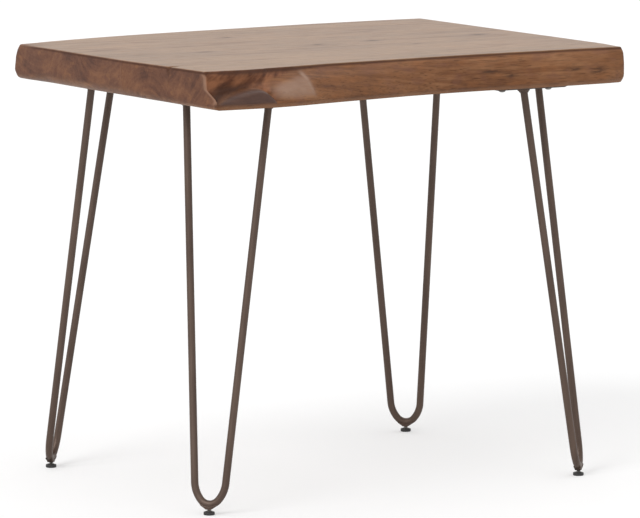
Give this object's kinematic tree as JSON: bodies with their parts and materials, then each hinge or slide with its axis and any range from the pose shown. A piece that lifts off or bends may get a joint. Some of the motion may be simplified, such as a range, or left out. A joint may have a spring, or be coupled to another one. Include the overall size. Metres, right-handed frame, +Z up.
{
  "type": "side table",
  "caption": "Side table with a thick live-edge wooden top on bent-bar hairpin legs, each with a screw-adjusted levelling foot.",
  "frame": {"origin": "on the floor, under the middle of the table's outline", "axes": "+X along the long edge, +Y from the front live edge to the back, +Z up"},
  "size_m": [0.665, 0.5446, 0.559],
  "materials": {
    "live_edge_wood": "satin oiled",
    "bronze_steel": "satin bronze-brown",
    "dark_zinc": "dull zinc",
    "foot_plastic": "matte black"
  },
  "bodies": {
    "table": {"board_front": "live_edge_wood", "board_mid_front": "live_edge_wood", "board_centre": "live_edge_wood", "board_mid_back": "live_edge_wood", "board_back": "live_edge_wood", "mounting_plate_front_left": "bronze_steel", "hairpin_front_left": "bronze_steel", "plate_screws_front_left": "dark_zinc", "leveller_boss_front_left": "bronze_steel", "mounting_plate_front_right": "bronze_steel", "hairpin_front_right": "bronze_steel", "plate_screws_front_right": "dark_zinc", "leveller_boss_front_right": "bronze_steel", "mounting_plate_back_left": "bronze_steel", "hairpin_back_left": "bronze_steel", "plate_screws_back_left": "dark_zinc", "leveller_boss_back_left": "bronze_steel", "mounting_plate_back_right": "bronze_steel", "hairpin_back_right": "bronze_steel", "plate_screws_back_right": "dark_zinc", "leveller_boss_back_right": "bronze_steel"},
    "pad_front_left": {"foot_pad_front_left": "foot_plastic"},
    "stud_front_left": {"leveller_stud_front_left": "dark_zinc"},
    "pad_front_right": {"foot_pad_front_right": "foot_plastic"},
    "stud_front_right": {"leveller_stud_front_right": "dark_zinc"},
    "pad_back_left": {"foot_pad_back_left": "foot_plastic"},
    "stud_back_left": {"leveller_stud_back_left": "dark_zinc"},
    "pad_back_right": {"foot_pad_back_right": "foot_plastic"},
    "stud_back_right": {"leveller_stud_back_right": "dark_zinc"}
  },
  "joints": [
    {"name": "foot_lift_front_left", "type": "slide", "parent": "table", "child": "pad_front_left", "axis": [0, 0, -1], "range_m": [-0.0012, 0.004]},
    {"name": "stud_turn_front_left", "type": "hinge", "parent": "pad_front_left", "child": "stud_front_left", "pos_m": [-0.28272, -0.19802, 0], "axis": [0, 0, -1], "range_deg": [-541, 1801]},
    {"name": "foot_lift_front_right", "type": "slide", "parent": "table", "child": "pad_front_right", "axis": [0, 0, -1], "range_m": [-0.0012, 0.004]},
    {"name": "stud_turn_front_right", "type": "hinge", "parent": "pad_front_right", "child": "stud_front_right", "pos_m": [0.27902, -0.20202, 0], "axis": [0, 0, -1], "range_deg": [-541, 1801]},
    {"name": "foot_lift_back_left", "type": "slide", "parent": "table", "child": "pad_back_left", "axis": [0, 0, -1], "range_m": [-0.0012, 0.004]},
    {"name": "stud_turn_back_left", "type": "hinge", "parent": "pad_back_left", "child": "stud_back_left", "pos_m": [-0.27902, 0.20202, 0], "axis": [0, 0, -1], "range_deg": [-541, 1801]},
    {"name": "foot_lift_back_right", "type": "slide", "parent": "table", "child": "pad_back_right", "axis": [0, 0, -1], "range_m": [-0.0012, 0.004]},
    {"name": "stud_turn_back_right", "type": "hinge", "parent": "pad_back_right", "child": "stud_back_right", "pos_m": [0.27902, 0.20202, 0], "axis": [0, 0, -1], "range_deg": [-541, 1801]}
  ],
  "couplings": [
    {"joint": "stud_turn_front_left", "follows": "foot_lift_front_left", "rad_per_m": 7854},
    {"joint": "stud_turn_front_right", "follows": "foot_lift_front_right", "rad_per_m": 7854},
    {"joint": "stud_turn_back_left", "follows": "foot_lift_back_left", "rad_per_m": 7854},
    {"joint": "stud_turn_back_right", "follows": "foot_lift_back_right", "rad_per_m": 7854}
  ]
}
